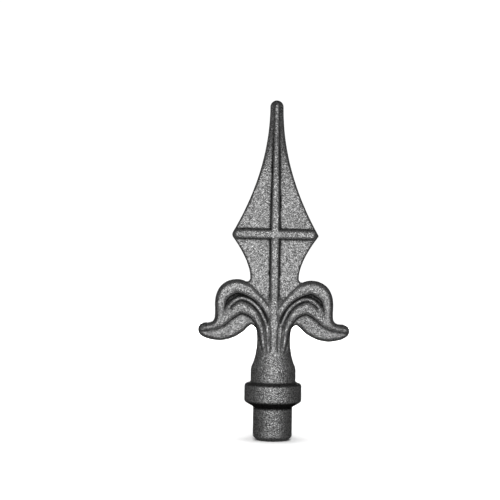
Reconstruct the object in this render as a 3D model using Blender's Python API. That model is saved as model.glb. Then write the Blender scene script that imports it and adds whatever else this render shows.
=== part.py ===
# Railhead finial: a spear blade over two scrolled leaves, on a turned neck, collar and round stub.
# It is one iron casting from a two-part mould, so front and back mirror each other across y = 0.
# Metres, +Z up. The origin is the centre of the stub's flat end, and the front faces -Y.

import math

import bpy
import numpy as np
from mathutils import Vector
from mathutils.geometry import delaunay_2d_cdt

# Turned foot, from the stub's end upwards
STUB_RADIUS = 0.0100
STUB_LENGTH = 0.0170
STUB_CHAMFER = 0.0021
STUB_CHAMFER_SLOPE = 0.85
STUB_ROUND = 0.0012
STUB_FILLET = 0.0007
COLLAR_RADIUS = 0.0146
COLLAR_CONE = 0.0027
COLLAR_BAND = 0.0088
COLLAR_SHOULDER = 0.0013
COLLAR_ROUND = 0.0016
SHOULDER_FILLET = 0.0006
BULGE_RADIUS = 0.0115
BULGE_LENGTH = 0.0068
BULGE_ROUND = 0.0050
TAPER_LENGTH = 0.0114
TAPER_KNEE_RADIUS = 0.00955
TAPER_KNEE_SHARE = 0.44
TAPER_ROUND = 0.0200
NECK_RADIUS = 0.0085
NECK_LENGTH = 0.0049
ROOT_DEPTH = 0.0041
STALK_WIDTH = 0.0052
ROOT_FADE = 0.0010

# Leaves. LEAF_REACH is from the axis to the tip of a leaf.
LEAF_REACH = 0.0386
LEAF_TOP_SHARE = 0.984
LOBE_THICKNESS = 0.0084
WEB_THICKNESS = 0.0082
LEAF_EDGE_ROUND = 0.0021
OVER_BLADE_ROUND = 0.0007
GROOVE_DEPTH = 0.0008
GROOVE_WIDTH = 0.0006
GROOVE_EDGE_FADE = 0.0030
GROOVE_START = 0.0030
GROOVE_END_SHARE = 0.12
LOWER_GROOVE_GAP = 0.0002
OUTER_GROOVE_GAP = 0.0005
INNER_GROOVE_GAP = 0.0003
LOWER_GROOVE_SHARE = 1.2
OUTER_GROOVE_SHARE = 1.3
INNER_GROOVE_SHARE = 1.8
HOLLOW_BLEND = 0.0004
AXIS_OVERLAP = 0.0001
SKIRT_SLOPE = 4.0
FLAT_SIDE = 3.6
ROUND_SIDE = 2.0

# Spear blade. Its waist stands a clearance above the top of the leaves. Shares are of the upper flank.
WAIST_CLEARANCE = 0.0016
NOTCH_ROUND = 0.0017
LOWER_FLANK = 0.0211
UPPER_FLANK = 0.0693
WAIST_WIDTH = 0.0249
SHOULDER_WIDTH = 0.0449
SHOULDER_ROUND_LEFT = 0.0026
SHOULDER_ROUND_RIGHT = 0.0009
TIP_RADIUS = 0.0034
TIP_THICKNESS = 0.0068
TIP_RIB_HEIGHT = 0.0009
TIP_RIB_SHARE = 0.55
TIP_SLOPE = 0.40
TIP_EDGE_SHARE = 0.9
TIP_START = 0.36
SPIKE_START = 0.45
SPIKE_FULL = 0.70
BLADE_THICKNESS = 0.0060
BLADE_EDGE_ROUND = 0.0011
RIB_THICKNESS = 0.0098
RIB_WIDTH = 0.0045
RIB_TOP_WIDTH = 0.0032
CROSS_RIB_RISE = 0.0006
CROSS_RIB_WIDTH = 0.0053
CROSS_RIB_TOP_WIDTH = 0.0028
CROSS_RIB_LENGTH = 0.0424
CROSS_RIB_FADE = 0.0018
CROWN_SHARE = 0.632
CROWN_ROUND = 0.0066
CROWN_RISE = 1.6
CROWN_TOP_SHARE = 0.2
MOULD_SKEW = 0.0065

# Where the stem changes, as shares of the rise from the neck's top to the waist
STEM_FLATTENS = (0.15, 0.95)
STALK_NARROWS = (0.0, 0.33)
STALK_SQUARES = (0.0, 0.3)
STALK_OPENS = (0.5, 0.72)
STALK_ENDS = (0.9, 1.0)

# Curvature of the flanks: 1 is straight
UPPER_FLANK_POWER = 2.0
LOWER_FLANK_POWER = 1.62

# Mesh steps
TURNED_SIDES = 36
TURNED_STEP = 0.0011
OUTLINE_STEP = 0.0017
ROW_STEP = 0.0015
FILL_STEP = 0.0015
PANEL_STEP = 0.0050
CARVED_STEP = 0.0008
PROFILE_STEP = 0.0004
FLANK_POINTS = (24, 40)
TIP_POINTS = 9
POINT_GAP = 0.6
ROW_JOIN = 1.6
RING_CLEARANCE = 0.9
ROW_CLEARANCE = 0.25
FILL_CLEARANCE = 0.3
CORNER_CLEARANCE = 0.8
EDGE_ANGLES = (18, 42, 68, 90)
ROLL_REACHES = (0.0, 1.0, 0.7, 1.2)
BLEND = 0.0006

# Heights that follow from the sizes above
COLLAR_LOW = STUB_LENGTH + COLLAR_CONE
COLLAR_TOP = COLLAR_LOW + COLLAR_BAND
BULGE_LOW = COLLAR_TOP + COLLAR_SHOULDER
BULGE_TOP = BULGE_LOW + BULGE_LENGTH
NECK_LOW = BULGE_TOP + TAPER_LENGTH
NECK_TOP = NECK_LOW + NECK_LENGTH
ROOT = NECK_LOW - ROOT_DEPTH
WAIST = ROOT + LEAF_TOP_SHARE * LEAF_REACH + WAIST_CLEARANCE
SHOULDER = WAIST + LOWER_FLANK
TIP_TOP = SHOULDER + UPPER_FLANK
TIP_CENTRE = TIP_TOP - TIP_RADIUS
CROSS_RIB = SHOULDER + CROSS_RIB_RISE

# The leaf's edge from its arch beside the neck, round the tip and over the top, then down across the
# blade to the root. In hundredths of the leaf's reach, out from the axis and up from the root. At the
# corner row it leaves the outline and starts across the blade.
LEAF_EDGE = (
    (22.3, 28.5), (24.4, 34.2), (29.2, 38.0), (34.2, 35.4), (39.6, 29.9), (47.0, 24.7), (57.0, 20.0),
    (72.5, 17.1), (83.0, 18.4), (92.0, 21.0), (98.4, 25.4), (100.6, 32.0), (97.8, 38.3), (92.0, 40.4),
    (86.0, 40.9), (81.8, 42.3), (79.3, 45.4), (78.4, 50.0), (78.3, 57.0), (78.6, 67.0), (76.4, 79.8),
    (70.8, 89.6), (62.5, 95.6), (50.8, 98.4), (41.0, 97.2), (34.2, 93.4), (26.0, 85.3), (18.1, 77.0),
    (12.4, 71.0), (6.6, 64.0), (2.4, 57.5), (0.2, 53.0),
)
EDGE_CORNER = 25

# Carved lines of the leaf: out, up, half-thickness at the crest, then how far the roll reaches on its
# left and on its right, seen along the line from the root. The vein's rows end with the half-thickness
# of the hollow beside it.
UPPER_ROLL = (
    (3.2, 3.0, 22.0, 3.0, 2.6), (3.2, 20.0, 20.6, 3.2, 2.8), (3.4, 38.0, 18.8, 3.4, 2.9),
    (5.2, 50.0, 17.8, 4.4, 3.6), (9.1, 58.6, 17.4, 5.6, 4.6), (15.6, 67.6, 17.2, 7.0, 5.2),
    (26.0, 77.6, 17.2, 7.6, 5.8), (36.3, 84.4, 17.4, 8.2, 7.0), (49.2, 88.4, 17.9, 9.4, 8.0),
    (61.8, 84.4, 17.9, 9.4, 9.2), (69.8, 74.4, 17.7, 8.8, 7.8), (72.2, 61.5, 17.4, 7.6, 7.2),
    (72.4, 51.5, 17.1, 7.0, 6.0), (77.0, 41.0, 16.4, 6.0, 5.8), (85.5, 35.8, 15.4, 5.2, 5.0),
)
LOWER_ROLL = (
    (11.4, 2.6, 20.4, 2.4, 3.2), (12.4, 18.0, 19.6, 4.0, 5.4), (14.2, 31.0, 19.2, 4.4, 6.2),
    (21.2, 47.0, 18.4, 6.6, 6.2), (28.6, 55.2, 18.0, 9.4, 6.4), (36.5, 59.2, 17.6, 11.6, 6.6),
    (44.4, 60.0, 17.3, 13.0, 6.6), (52.0, 56.6, 17.0, 13.4, 6.4), (60.6, 50.2, 16.8, 10.8, 6.2),
    (67.3, 43.8, 16.6, 7.2, 6.0), (75.2, 38.8, 16.2, 5.6, 5.4), (85.5, 35.8, 15.2, 5.0, 4.9),
    (94.8, 33.4, 13.4, 4.4, 4.2),
)
VEIN = (
    (8.0, 1.0, 21.4, 1.0, 1.0, 16.0), (8.4, 13.0, 20.8, 1.4, 1.2, 16.0),
    (9.2, 26.0, 19.8, 1.9, 1.7, 15.6), (10.7, 38.8, 18.8, 2.5, 2.0, 15.2),
    (14.4, 49.2, 18.4, 2.4, 2.2, 14.8), (20.4, 59.8, 18.2, 2.6, 2.4, 13.8),
    (27.2, 66.6, 17.0, 2.6, 2.4, 11.6), (35.0, 71.4, 15.4, 2.6, 2.4, 8.8),
    (41.5, 73.3, 14.2, 2.6, 2.4, 7.6), (46.6, 73.0, 13.6, 2.6, 2.4, 7.5),
    (51.2, 71.0, 13.4, 2.6, 2.4, 7.8), (55.0, 68.0, 13.4, 2.6, 2.4, 8.4),
    (58.4, 64.2, 13.6, 2.6, 2.2, 9.2), (61.0, 60.0, 13.8, 2.6, 2.2, 10.4),
    (62.7, 55.4, 14.0, 2.4, 2.0, 12.0),
)


# Curves and distances

def leaf_rows(rows):
    """Rows in hundredths of the reach, as metres with the root's height added."""
    found = np.array(rows, float) * (LEAF_REACH / 100)
    found[:, 1] += ROOT
    return found


def smooth_step(value, low, high):
    t = np.clip((value - low) / (high - low), 0.0, 1.0)
    return t * t * (3.0 - 2.0 * t)


def smooth_max(one, other, blend=BLEND):
    near = np.clip(1.0 - np.abs(one - other) / blend, 0.0, 1.0)
    return np.maximum(one, other) + near * near * blend / 4.0


def through(knots, step):
    """A smooth curve through the knots, with a row about every step; every column is carried along."""
    knots = np.array(knots, float)
    gaps = np.hypot(*np.diff(knots[:, :2], axis=0).T)
    along = np.concatenate([[0.0], np.cumsum(gaps)])
    slopes = np.gradient(knots, along, axis=0)
    rows = [knots[:1]]
    for i, gap in enumerate(gaps):
        count = max(1, round(gap / step))
        t = (np.arange(count) + 1)[:, None] / count
        rows.append(
            (2 * t**3 - 3 * t**2 + 1) * knots[i]
            + (t**3 - 2 * t**2 + t) * gap * slopes[i]
            + (3 * t**2 - 2 * t**3) * knots[i + 1]
            + (t**3 - t**2) * gap * slopes[i + 1]
        )
    return np.concatenate(rows)


def rounded(corners, step):
    """The line through corners of (x, z, radius), with an arc of that radius at each inner corner."""
    points = [np.array(corners[0][:2], float)]
    for before, here, after in zip(corners, corners[1:], corners[2:]):
        corner = np.array(here[:2], float)
        arrive = corner - before[:2]
        leave = np.array(after[:2], float) - corner
        arrive /= np.hypot(*arrive)
        leave /= np.hypot(*leave)
        turn = math.acos(float(np.clip(arrive @ leave, -1.0, 1.0)))
        radius = here[2]
        if radius * turn < 1e-6:
            points.append(corner)
            continue
        start = corner - arrive * radius * math.tan(turn / 2)
        count = max(2, math.ceil(radius * turn / step))
        for i in range(count + 1):
            bend = turn * i / count
            across = leave - arrive * math.cos(turn)
            across /= np.hypot(*across)
            points.append(start + arrive * radius * math.sin(bend) + across * radius * (1 - math.cos(bend)))
    points.append(np.array(corners[-1][:2], float))
    return np.array(points)


def resample(line, step):
    """The same line with its points evenly spaced, about a step apart."""
    along = np.concatenate([[0.0], np.cumsum(np.hypot(*np.diff(line[:, :2], axis=0).T))])
    places = np.linspace(0.0, along[-1], max(2, round(along[-1] / step) + 1))
    return np.column_stack([np.interp(places, along, line[:, i]) for i in range(line.shape[1])])


def nearest(points, line):
    """Distance to the line, its other columns at the nearest place, and the side: +1 on its left."""
    start = line[:-1, :2]
    run = np.diff(line[:, :2], axis=0)
    length2 = np.maximum((run * run).sum(1), 1e-18)
    distance = np.empty(len(points))
    side = np.empty(len(points))
    columns = np.empty((len(points), line.shape[1] - 2))
    for first in range(0, len(points), 4000):
        part = slice(first, first + 4000)
        from_start = points[part, None, :] - start
        t = np.clip((from_start * run).sum(2) / length2, 0.0, 1.0)
        off = from_start - t[:, :, None] * run
        gap2 = (off * off).sum(2)
        best = gap2.argmin(1)
        row = np.arange(len(best))
        t = t[row, best][:, None]
        distance[part] = np.sqrt(gap2[row, best])
        cross = run[best, 0] * off[row, best, 1] - run[best, 1] * off[row, best, 0]
        side[part] = np.where(cross >= 0, 1.0, -1.0)
        columns[part] = line[best, 2:] * (1 - t) + line[best + 1, 2:] * t
    return distance, columns, side


def inside(points, polygon):
    found = np.zeros(len(points), bool)
    for (x0, z0), (x1, z1) in zip(polygon, np.roll(polygon, -1, axis=0)):
        spans = (z0 > points[:, 1]) != (z1 > points[:, 1])
        if z0 != z1:
            found ^= spans & (points[:, 0] < x0 + (points[:, 1] - z0) * (x1 - x0) / (z1 - z0))
    return found


# Outlines

def stem_profile(step):
    """Radius and height of the turned foot, from the stub's end to the top of the neck."""
    knee = BULGE_TOP + TAPER_LENGTH * TAPER_KNEE_SHARE
    corners = (
        (STUB_RADIUS - STUB_CHAMFER, 0.0, 0.0),
        (STUB_RADIUS, STUB_CHAMFER * STUB_CHAMFER_SLOPE, STUB_ROUND),
        (STUB_RADIUS, STUB_LENGTH, STUB_FILLET),
        (COLLAR_RADIUS, COLLAR_LOW, COLLAR_ROUND),
        (COLLAR_RADIUS, COLLAR_TOP, COLLAR_ROUND),
        (BULGE_RADIUS, BULGE_LOW, SHOULDER_FILLET),
        (BULGE_RADIUS, BULGE_TOP, BULGE_ROUND),
        (TAPER_KNEE_RADIUS, knee, TAPER_ROUND),
        (NECK_RADIUS, NECK_LOW, TAPER_ROUND),
        (NECK_RADIUS, NECK_TOP, 0.0),
    )
    return rounded(corners, step)


def blade_side(corner_round, step):
    """Half of the blade's outline, from its waist to the middle of the tip."""
    waist = WAIST_WIDTH / 2
    shoulder = SHOULDER_WIDTH / 2
    t = np.linspace(0.0, 1.0, FLANK_POINTS[0])[1:-1]
    lower = [(waist + (shoulder - waist) * s**LOWER_FLANK_POWER, WAIST + LOWER_FLANK * s, 0.0) for s in t]
    flank = TIP_CENTRE - SHOULDER
    upper = [
        (TIP_RADIUS + (shoulder - TIP_RADIUS) * (1 - s) ** UPPER_FLANK_POWER, SHOULDER + flank * s, 0.0)
        for s in np.linspace(0.0, 1.0, FLANK_POINTS[1])[1:]
    ]
    tip = [
        (TIP_RADIUS * math.cos(a), TIP_CENTRE + TIP_RADIUS * math.sin(a), 0.0)
        for a in np.linspace(0.0, math.pi / 2, TIP_POINTS)[1:]
    ]
    keep = corner_round * CORNER_CLEARANCE
    lower = [p for p in lower if math.hypot(p[0] - shoulder, p[1] - SHOULDER) > keep]
    upper = [p for p in upper if math.hypot(p[0] - shoulder, p[1] - SHOULDER) > keep]
    corners = [(waist, WAIST, 0.0)]
    corners += lower + [(shoulder, SHOULDER, corner_round)] + upper + tip
    return rounded(corners, step)


def leaf_edge(step):
    rows = leaf_rows(LEAF_EDGE)
    rows[0] = (NECK_RADIUS, NECK_TOP)
    return through(rows, step)


def notch_fillet(leaf, step):
    """The arc that joins the top of the leaf to the blade's waist, and the leaf's points below it."""
    counted = np.column_stack([leaf, np.arange(len(leaf))])
    across = WAIST_WIDTH / 2 + NOTCH_ROUND
    low = np.interp(across, leaf[::-1, 0][:len(leaf) // 2], leaf[::-1, 1][:len(leaf) // 2])
    high = low + 3 * NOTCH_ROUND
    for _ in range(40):
        middle = (low + high) / 2
        gap, place, _ = nearest(np.array([[across, middle]]), counted)
        if gap[0] < NOTCH_ROUND:
            low = middle
        else:
            high = middle
    touch = place[0, 0]
    below = leaf[:math.ceil(touch)]
    x, z = (np.interp(touch, counted[:, 2], leaf[:, i]) for i in (0, 1))
    angle = math.atan2(z - middle, x - across)
    turn = np.arange(angle, -math.pi, -step / NOTCH_ROUND)
    arc = np.column_stack([across + NOTCH_ROUND * np.cos(turn), middle + NOTCH_ROUND * np.sin(turn)])
    return below, np.vstack([arc, [[across - NOTCH_ROUND, middle]]])


def half_outline(corner_round, step):
    """Right half of the casting above the root, seen from the front, up to the middle of the tip."""
    stem = stem_profile(step / 4)
    stem = stem[stem[:, 1] > ROOT + step / 8]
    root_radius = np.interp(ROOT, *stem_profile(step / 4)[:, ::-1].T)
    leaf, notch = notch_fillet(leaf_edge(step / 4), step / 4)
    blade = blade_side(corner_round, step / 4)
    pieces = (np.vstack([[root_radius, ROOT], stem, leaf[1:], notch[:1]]), np.vstack([notch, blade]))
    lower, upper = (resample(piece, step) for piece in pieces)
    return np.vstack([lower, upper[1:]])


# Relief

def stem_radius(height):
    return np.interp(height, *stem_profile(PROFILE_STEP)[:, ::-1].T)


def rib_taper(height):
    """The upright rib narrows from the shoulders to the tip."""
    return 1.0 + (TIP_RIB_SHARE - 1.0) * smooth_step(height, SHOULDER, TIP_CENTRE)


def to_tip(height):
    """0 over the flat panels, rising to 1 where the blade has become a round spike."""
    return smooth_step(height, SHOULDER + TIP_START * UPPER_FLANK, TIP_CENTRE)


def blade_edge(height):
    """Width of the blade's rounded edge."""
    return BLADE_EDGE_ROUND + (TIP_RADIUS * TIP_EDGE_SHARE - BLADE_EDGE_ROUND) * to_tip(height)


def roll(points, line, floors, powers):
    """Half-thickness of a roll. Each side curves down to its floor by its own power, left side first."""
    distance, columns, side = nearest(points, line)
    crest, left, right = columns.T[:3]
    floor = np.where(side > 0, *floors)
    power = np.where(side > 0, *powers)
    reach = np.where(side > 0, left, right)
    t = distance / reach
    curve = floor + (crest - floor) * np.clip(1.0 - t**power, 0.0, 1.0) ** (1.0 / power)
    return curve - SKIRT_SLOPE * np.maximum(distance - reach, 0.0)


def groove(points, line, side, gap, depth):
    """A round groove a gap beyond the roll's foot, on one side of the line."""
    distance, columns, on_side = nearest(points, line)
    reach = columns[:, 1] if side > 0 else columns[:, 2]
    away = np.where(on_side == side, distance, -distance) - reach - gap
    start = smooth_step(points[:, 1], ROOT, ROOT + GROOVE_START)
    fade = smooth_step(np.hypot(*(points - line[-1, :2]).T), 0.0, GROOVE_END_SHARE * LEAF_REACH)
    return depth * start * fade * np.exp(-((away / GROOVE_WIDTH) ** 2))


def rim(distance, width):
    """Share of the full thickness at a distance inside a rounded edge."""
    t = np.clip(1.0 - distance / width, 0.0, 1.0)
    return np.sqrt(1.0 - t * t)


class Relief:
    """Half-thickness of the casting above the root: how far its front stands before y = 0."""

    def __init__(self, outline):
        self.outline = np.vstack([outline, outline[:1]])
        self.rolls = [through(leaf_rows(rows), CARVED_STEP) for rows in (UPPER_ROLL, LOWER_ROLL)]
        self.vein = through(leaf_rows(VEIN), CARVED_STEP)
        edge = leaf_edge(CARVED_STEP)
        corner = leaf_rows(LEAF_EDGE)[EDGE_CORNER]
        on_blade = int(np.hypot(*(edge - corner).T).argmin())
        self.over_blade = edge[on_blade:]
        hidden = ((-AXIS_OVERLAP, edge[-1, 1]), (-AXIS_OVERLAP, ROOT), (NECK_RADIUS * 1.2, ROOT))
        self.leaf = np.vstack([edge, hidden])

    def stem(self, points):
        """The round neck, which flattens as it runs up between the leaves into the upright rib."""
        height = points[:, 1]
        radius = stem_radius(height)
        rise = (height - NECK_TOP) / (WAIST - NECK_TOP)
        depth = radius + (RIB_THICKNESS / 2 - BLEND - radius) * smooth_step(rise, *STEM_FLATTENS)
        width = radius + (STALK_WIDTH / 2 - radius) * smooth_step(rise, *STALK_NARROWS)
        width += (RIB_TOP_WIDTH / 2 + BLEND / 2 - STALK_WIDTH / 2) * smooth_step(rise, *STALK_OPENS)
        power = 2.0 + 2.0 * smooth_step(rise, *STALK_SQUARES)
        across = np.clip(np.abs(points[:, 0]) / width, 0.0, 1.0)
        body = depth * (1.0 - across**power) ** (1.0 / power)
        return body * (1.0 - smooth_step(rise, *STALK_ENDS))

    def blade(self, points, distance):
        x, z = np.abs(points[:, 0]), points[:, 1]
        low, top = RIB_WIDTH / 2, RIB_TOP_WIDTH / 2
        upright = 1.0 - smooth_step(x / rib_taper(z), top, low)
        cross = 1.0 - smooth_step(np.abs(z - CROSS_RIB), CROSS_RIB_TOP_WIDTH / 2, CROSS_RIB_WIDTH / 2)
        half = CROSS_RIB_LENGTH / 2
        cross *= 1.0 - smooth_step(x, half - CROSS_RIB_FADE, half + CROSS_RIB_FADE / 2)
        crown = np.hypot(x, z - ROOT - CROWN_SHARE * LEAF_REACH) / CROWN_ROUND
        crown = CROWN_RISE * (1.0 - smooth_step(crown, CROWN_TOP_SHARE, 1.0))
        panel = BLADE_THICKNESS / 2
        rib = RIB_THICKNESS / 2 - panel
        rib += (TIP_RIB_HEIGHT - rib) * to_tip(z)
        panel += (TIP_THICKNESS / 2 - TIP_RIB_HEIGHT - panel) * to_tip(z)
        spike = smooth_step(z, SHOULDER + SPIKE_START * UPPER_FLANK, SHOULDER + SPIKE_FULL * UPPER_FLANK)
        panel -= TIP_SLOPE * spike * np.maximum(x - top * rib_taper(z), 0.0)
        raised = np.maximum(np.maximum(upright, cross), crown)
        return (panel + rib * raised) * rim(distance, blade_edge(z))

    def leaves(self, points, distance):
        points = np.column_stack([np.abs(points[:, 0]), points[:, 1]])
        upper, lower = self.rolls
        lobe = LOBE_THICKNESS / 2
        hollow = nearest(points, self.vein)[1][:, 3]
        web = np.maximum(WEB_THICKNESS / 2, hollow)
        away, _, side = nearest(points, lower)
        level = lobe + (hollow - lobe) * smooth_step(away * side, -HOLLOW_BLEND, HOLLOW_BLEND)
        level = smooth_max(level, roll(points, upper, (hollow, hollow), (FLAT_SIDE, FLAT_SIDE)))
        level = smooth_max(level, roll(points, lower, (web, lobe), (ROUND_SIDE, FLAT_SIDE)))
        level = smooth_max(level, roll(points, self.vein, (hollow, web), (FLAT_SIDE, FLAT_SIDE)))
        level *= rim(distance, LEAF_EDGE_ROUND)
        level *= rim(nearest(points, self.over_blade)[0], OVER_BLADE_ROUND)
        level *= smooth_step(points[:, 1], ROOT, NECK_LOW)
        return np.where(inside(points, self.leaf), level, 0.0)

    def grooves(self, points):
        points = np.column_stack([np.abs(points[:, 0]), points[:, 1]])
        lines = (
            (self.rolls[1], -1.0, LOWER_GROOVE_GAP, GROOVE_DEPTH * LOWER_GROOVE_SHARE),
            (self.vein, 1.0, OUTER_GROOVE_GAP, GROOVE_DEPTH * OUTER_GROOVE_SHARE),
            (self.vein, -1.0, INNER_GROOVE_GAP, GROOVE_DEPTH * INNER_GROOVE_SHARE),
        )
        return sum(groove(points, *line) for line in lines)

    def half_thickness(self, points):
        distance = nearest(points, self.outline)[0]
        found = smooth_max(self.blade(points, distance), self.leaves(points, distance))
        found = smooth_max(found, self.stem(points))
        cut = self.grooves(points) * rim(distance, GROOVE_EDGE_FADE)
        fade = smooth_step(points[:, 1], ROOT, ROOT + ROOT_FADE)
        round_stem = self.stem(points)
        return round_stem + (found - cut - round_stem) * fade


# Mesh

class Scatter:
    """Points kept a gap apart, measured on the relief's surface, so steep flanks get their share."""

    def __init__(self, relief):
        self.relief = relief
        self.cells = {}
        self.points = []
        self.edges = []

    def add(self, points, step, joined=False, always=False):
        """Adds the points that aren't crowded. Joined ones in a row get an edge between them."""
        height = self.relief.half_thickness(points)
        gap = step * POINT_GAP
        last = None
        for x, y, z in zip(points[:, 0], height, points[:, 1]):
            if not always and self.crowded((x, y, z), gap):
                last = None
                continue
            self.cells.setdefault(self.cell((x, y, z)), []).append((x, y, z))
            if joined and last is not None and math.dist(self.points[last], (x, z)) < ROW_JOIN * step:
                self.edges.append((last, len(self.points)))
            last = len(self.points)
            self.points.append((x, z))

    def cell(self, place):
        return tuple(int(value // FILL_STEP) for value in place)

    def crowded(self, place, gap):
        reach = math.ceil(gap / FILL_STEP)
        spread = range(-reach, reach + 1)
        i, j, k = self.cell(place)
        for di in spread:
            for dj in spread:
                for dk in spread:
                    for other in self.cells.get((i + di, j + dj, k + dk), ()):
                        if math.dist(other, place) < gap:
                            return True
        return False


def inset_rings(outline, relief):
    """Points inside the rounded edge, in rings that follow the outline."""
    before, after = np.roll(outline, 1, axis=0), np.roll(outline, -1, axis=0)
    along = after - before
    inward = np.column_stack([-along[:, 1], along[:, 0]]) / np.hypot(*along.T)[:, None]
    z = outline[:, 1]
    width = np.where(z < NECK_TOP, stem_radius(z), LEAF_EDGE_ROUND)
    width = np.where(z > WAIST, blade_edge(z), width)
    for angle in EDGE_ANGLES:
        depth = width * (1 - math.cos(math.radians(angle)))
        ring = outline + inward * depth[:, None]
        clear = nearest(ring, relief.outline)[0] > depth * RING_CLEARANCE
        yield ring[clear & inside(ring, outline)]


def carved_rows(relief):
    """Rows of points along the edges of the ribs, and along the crests, sides and feet of the rolls."""
    heights = np.arange(NECK_TOP, TIP_TOP, ROW_STEP)
    for half in (RIB_TOP_WIDTH / 2, RIB_WIDTH / 2):
        for side in (-1, 1):
            yield np.column_stack([side * half * rib_taper(heights), heights])
    yield np.column_stack([heights * 0.0, heights])
    across = np.arange(RIB_WIDTH / 2, CROSS_RIB_LENGTH / 2 + ROW_STEP, ROW_STEP)
    for width in (CROSS_RIB_TOP_WIDTH, CROSS_RIB_WIDTH):
        for row in (-width / 2, width / 2):
            for side in (-1, 1):
                yield np.column_stack([side * across, np.full(len(across), CROSS_RIB + row)])
    for reach in ROLL_REACHES:
        for line in (*relief.rolls, relief.vein):
            line = resample(line, ROW_STEP)
            along = np.gradient(line[:, :2], axis=0)
            left = np.column_stack([-along[:, 1], along[:, 0]]) / np.hypot(*along.T)[:, None]
            for sign, column in ((1, 3), (-1, 4)):
                side = line[:, :2] + sign * left * line[:, column:column + 1] * reach
                yield side
                yield side * (-1, 1)


def hex_grid(low, high, step):
    rows = np.arange(low[1], high[1], step * math.sqrt(0.75))
    for i, z in enumerate(rows):
        xs = np.arange(low[0], high[0], step) + (i % 2) * step / 2
        yield np.column_stack([xs, np.full(len(xs), z)])


def scattered(outline, relief):
    """All points of the front, with the edges that keep its creases sharp."""
    scatter = Scatter(relief)
    scatter.add(outline, OUTLINE_STEP, always=True)
    for ring in inset_rings(outline, relief):
        scatter.add(ring, OUTLINE_STEP)
    for row in carved_rows(relief):
        clear = nearest(row, relief.outline)[0] > OUTLINE_STEP * ROW_CLEARANCE
        scatter.add(row[clear & inside(row, outline)], ROW_STEP, joined=True)
    low, high = outline.min(0), outline.max(0)
    for bottom, top, step in ((low[1], WAIST, FILL_STEP), (WAIST, high[1], PANEL_STEP)):
        grid = np.vstack(list(hex_grid((low[0], bottom), (high[0], top), step)))
        clear = nearest(grid, relief.outline)[0] > step * FILL_CLEARANCE
        scatter.add(grid[clear & inside(grid, outline)], step)
    return scatter


def casting_mesh():
    """Vertices and faces of the whole casting: the turned foot below the root, the relief above it."""
    right = half_outline(SHOULDER_ROUND_RIGHT, OUTLINE_STEP)
    left = half_outline(SHOULDER_ROUND_LEFT, OUTLINE_STEP)[::-1] * (-1, 1)
    sides = TURNED_SIDES // 2
    root_radius = right[0, 0]
    angles = np.linspace(-math.pi / 2, math.pi / 2, sides + 1)
    root_row = np.column_stack([root_radius * np.sin(angles), np.full(sides + 1, ROOT)])
    outline = np.vstack([root_row, right[1:], left[1:-1]])
    relief = Relief(outline)
    scatter = scattered(outline, relief)

    flat = [Vector(point) for point in scatter.points]
    border = [list(range(len(outline)))]
    found = delaunay_2d_cdt(flat, scatter.edges, border, 1, 1e-9)
    flat = np.array([tuple(point) for point in found[0]])
    triangles = found[2]
    place = {was: now for now, given in enumerate(found[3]) for was in given}
    height = relief.half_thickness(flat)
    for was in range(len(outline)):
        height[place[was]] = 0.0
    for i, angle in enumerate(angles[1:-1], 1):
        height[place[i]] = root_radius * math.cos(angle)

    skew = MOULD_SKEW * smooth_step(flat[:, 1], NECK_LOW, WAIST)
    front = np.column_stack([flat[:, 0], -height, flat[:, 1] - flat[:, 0] * skew])
    vertices = [tuple(row) for row in front]
    back = {}
    for i, (x, y, z) in enumerate(front):
        back[i] = i if y == 0.0 else len(vertices)
        if y != 0.0:
            vertices.append((x, -y, z))
    faces = [tuple(face) for face in triangles]
    faces += [tuple(back[i] for i in reversed(face)) for face in triangles]

    root_ring = [place[i] for i in range(sides + 1)]
    root_ring += [back[place[i]] for i in range(sides - 1, 0, -1)]
    profile = [tuple(row) for row in stem_profile(TURNED_STEP) if row[1] < ROOT - TURNED_STEP / 2]
    rings = []
    for radius, z in profile:
        rings.append(list(range(len(vertices), len(vertices) + TURNED_SIDES)))
        for i in range(TURNED_SIDES):
            angle = -math.pi / 2 + 2 * math.pi * i / TURNED_SIDES
            vertices.append((radius * math.sin(angle), -radius * math.cos(angle), z))
    rings.append(root_ring)
    for lower, upper in zip(rings, rings[1:]):
        for i in range(TURNED_SIDES):
            j = (i + 1) % TURNED_SIDES
            faces.append((lower[i], lower[j], upper[j], upper[i]))
    faces.append(tuple(reversed(rings[0])))
    return vertices, faces


# Object

def cast_iron():
    material = bpy.data.materials.new("cast_iron")
    material.use_nodes = True
    shader = material.node_tree.nodes["Principled BSDF"]
    shader.inputs["Base Color"].default_value = (0.16, 0.16, 0.16, 1.0)
    shader.inputs["Roughness"].default_value = 0.55
    shader.inputs["Metallic"].default_value = 0.8
    return material


def main():
    for old in list(bpy.data.objects):
        bpy.data.objects.remove(old)
    vertices, faces = casting_mesh()
    mesh = bpy.data.meshes.new("finial")
    mesh.from_pydata(vertices, [], faces)
    mesh.shade_smooth()
    mesh.set_sharp_from_angle(angle=math.radians(50))
    mesh.materials.append(cast_iron())
    finial = bpy.data.objects.new("finial", mesh)
    bpy.context.scene.collection.objects.link(finial)


main()
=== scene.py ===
# Railhead finial: the looks. The casting is modelled again, finely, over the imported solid, then given its
# sand-cast skin, its raw iron finish, a pale stage and the photograph's camera. Metres, +Z up, front -Y.
import math

import bpy
import numpy as np
from mathutils import Matrix, Vector
from mathutils.geometry import delaunay_2d_cdt


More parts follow.
